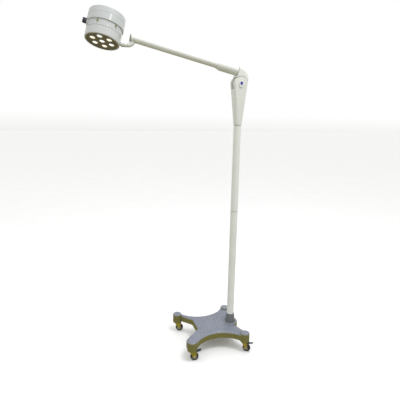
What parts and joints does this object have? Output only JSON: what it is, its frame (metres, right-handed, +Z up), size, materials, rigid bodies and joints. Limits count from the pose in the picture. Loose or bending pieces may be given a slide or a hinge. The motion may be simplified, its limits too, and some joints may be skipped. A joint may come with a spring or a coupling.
{
  "type": "mobile surgical light",
  "caption": "Mobile surgical light: a round LED lamp head on a balanced arm and a tall pole, on a cast base with swivel casters.",
  "frame": {"origin": "floor level, under the middle of the light's overall box", "axes": "+Z up along the pole, +X from the lamp head towards the pole, +Y across the arm"},
  "size_m": [0.9094, 0.4114, 1.9111],
  "materials": {
    "cast_grey": "hammered grey paint, satin",
    "steel": "turned steel",
    "dark_cast": "dark grey powder coat, matte",
    "white_paint": "off-white powder coat, satin",
    "zinc": "bright zinc plate",
    "yellow_zinc": "yellow zinc plate",
    "grey_plastic": "grey moulded nylon",
    "tyre": "black rubber, matte",
    "pedal_plastic": "dark blue-grey moulded nylon",
    "bronze": "sintered bronze",
    "badge": "blue printed badge",
    "ring_paint": "light grey paint, satin",
    "lamp_paint": "light grey painted housing, satin",
    "olive_plate": "dark olive-brown lacquer",
    "lens": "clear moulded lens",
    "board": "green circuit board",
    "heat_sink": "extruded aluminium",
    "white_plastic": "white moulded plastic, gloss",
    "knob_plastic": "blue-black moulded plastic, gloss"
  },
  "bodies": {
    "base": {"base_casting": "cast_grey", "base_bolt": "steel", "pole_socket": "dark_cast", "lower_pole": "white_paint", "pole_coupler": "steel", "upper_pole": "white_paint", "top_spigot": "steel", "caster_stem_front_left": "zinc", "caster_stem_front_right": "zinc", "caster_stem_rear_left": "zinc", "caster_stem_rear_right": "zinc"},
    "fork_front_left": {"caster_fork_front_left": "yellow_zinc", "caster_axle_front_left": "zinc"},
    "wheel_front_left": {"caster_hub_front_left": "grey_plastic", "caster_tyre_front_left": "tyre"},
    "pedal_front_left": {"brake_pedal_front_left": "pedal_plastic"},
    "fork_front_right": {"caster_fork_front_right": "yellow_zinc", "caster_axle_front_right": "zinc"},
    "wheel_front_right": {"caster_hub_front_right": "grey_plastic", "caster_tyre_front_right": "tyre"},
    "pedal_front_right": {"brake_pedal_front_right": "pedal_plastic"},
    "fork_rear_left": {"caster_fork_rear_left": "yellow_zinc", "caster_axle_rear_left": "zinc"},
    "wheel_rear_left": {"caster_hub_rear_left": "grey_plastic", "caster_tyre_rear_left": "tyre"},
    "fork_rear_right": {"caster_fork_rear_right": "yellow_zinc", "caster_axle_rear_right": "zinc"},
    "wheel_rear_right": {"caster_hub_rear_right": "grey_plastic", "caster_tyre_rear_right": "tyre"},
    "column": {"column_head": "white_paint", "swivel_bush": "bronze", "pivot_pin": "steel", "pivot_badge": "badge", "balance_spring": "steel"},
    "arm": {"arm_knuckle": "white_paint", "arm_sleeve": "white_paint", "arm_tube": "white_paint", "arm_end_plug": "grey_plastic"},
    "balance": {"balance_rod": "steel"},
    "bracket": {"bent_tube": "white_paint", "bracket_nut": "zinc"},
    "clevis": {"tilt_clevis": "white_paint", "tilt_pin": "zinc"},
    "head": {"lower_ring": "ring_paint", "waist_housing": "lamp_paint", "upper_cover": "lamp_paint", "reflector_plate": "olive_plate", "lens_1": "lens", "lens_2": "lens", "lens_3": "lens", "lens_4": "lens", "lens_5": "lens", "lens_6": "lens", "lens_7": "lens", "led_board": "board", "heat_sink": "heat_sink", "driver_board": "board", "dimmer_boss": "white_plastic"},
    "knob": {"dimmer_knob": "knob_plastic"}
  },
  "joints": [
    {"name": "caster_swivel_front_left", "type": "hinge", "parent": "base", "child": "fork_front_left", "pos_m": [0.07674, -0.15826, 0.057], "axis": [0, 0, 1], "continuous": true},
    {"name": "wheel_spin_front_left", "type": "hinge", "parent": "fork_front_left", "child": "wheel_front_left", "pos_m": [0.09043, -0.16117, 0.024], "axis": [0.2079, 0.9781, 0], "continuous": true},
    {"name": "brake_front_left", "type": "hinge", "parent": "fork_front_left", "child": "pedal_front_left", "pos_m": [0.0963, -0.16242, 0.0545], "axis": [0.2079, 0.9781, 0], "range_deg": [0, 12]},
    {"name": "caster_swivel_front_right", "type": "hinge", "parent": "base", "child": "fork_front_right", "pos_m": [0.41274, -0.15826, 0.057], "axis": [0, 0, 1], "continuous": true},
    {"name": "wheel_spin_front_right", "type": "hinge", "parent": "fork_front_right", "child": "wheel_front_right", "pos_m": [0.42174, -0.16898, 0.024], "axis": [0.766, 0.6428, 0], "continuous": true},
    {"name": "brake_front_right", "type": "hinge", "parent": "fork_front_right", "child": "pedal_front_right", "pos_m": [0.4256, -0.17358, 0.0545], "axis": [0.766, 0.6428, 0], "range_deg": [0, 12]},
    {"name": "caster_swivel_rear_left", "type": "hinge", "parent": "base", "child": "fork_rear_left", "pos_m": [0.07674, 0.17774, 0.057], "axis": [0, 0, 1], "continuous": true},
    {"name": "wheel_spin_rear_left", "type": "hinge", "parent": "fork_rear_left", "child": "wheel_rear_left", "pos_m": [0.08943, 0.17182, 0.024], "axis": [0.4226, 0.9063, 0], "continuous": true},
    {"name": "caster_swivel_rear_right", "type": "hinge", "parent": "base", "child": "fork_rear_right", "pos_m": [0.41274, 0.17774, 0.057], "axis": [0, 0, 1], "continuous": true},
    {"name": "wheel_spin_rear_right", "type": "hinge", "parent": "fork_rear_right", "child": "wheel_rear_right", "pos_m": [0.4259, 0.17295, 0.024], "axis": [0.342, 0.9397, 0], "continuous": true},
    {"name": "column_swivel", "type": "hinge", "parent": "base", "child": "column", "pos_m": [0.38274, 0.00974, 1.4], "axis": [0, 0, 1], "range_deg": [-170, 170]},
    {"name": "arm_lift", "type": "hinge", "parent": "column", "child": "arm", "pos_m": [0.38274, 0.00974, 1.579], "axis": [0, 1, 0], "range_deg": [-50, 25], "deforming": ["balance_spring"]},
    {"name": "balance_link", "type": "hinge", "parent": "arm", "child": "balance", "pos_m": [0.36907, 0.00974, 1.58201], "axis": [0, 1, 0], "range_deg": [-25, 50]},
    {"name": "bracket_swivel", "type": "hinge", "parent": "arm", "child": "bracket", "pos_m": [-0.20699, 0.00974, 1.77706], "axis": [0.2147, 0, 0.9767], "range_deg": [-80, 80]},
    {"name": "head_roll", "type": "hinge", "parent": "bracket", "child": "clevis", "pos_m": [-0.24526, 0.00974, 1.745], "axis": [1, 0, 0], "range_deg": [-90, 90]},
    {"name": "head_tilt", "type": "hinge", "parent": "clevis", "child": "head", "pos_m": [-0.26176, 0.00974, 1.745], "axis": [0, 0.9694, -0.2453], "range_deg": [-75, 10]},
    {"name": "dimmer_turn", "type": "hinge", "parent": "head", "child": "knob", "pos_m": [-0.44198, 0.02842, 1.84727], "axis": [-0.9667, -0.0072, 0.256], "range_deg": [0, 270]}
  ],
  "couplings": [
    {"joint": "balance_link", "follows": "arm_lift", "ratio": -1}
  ]
}
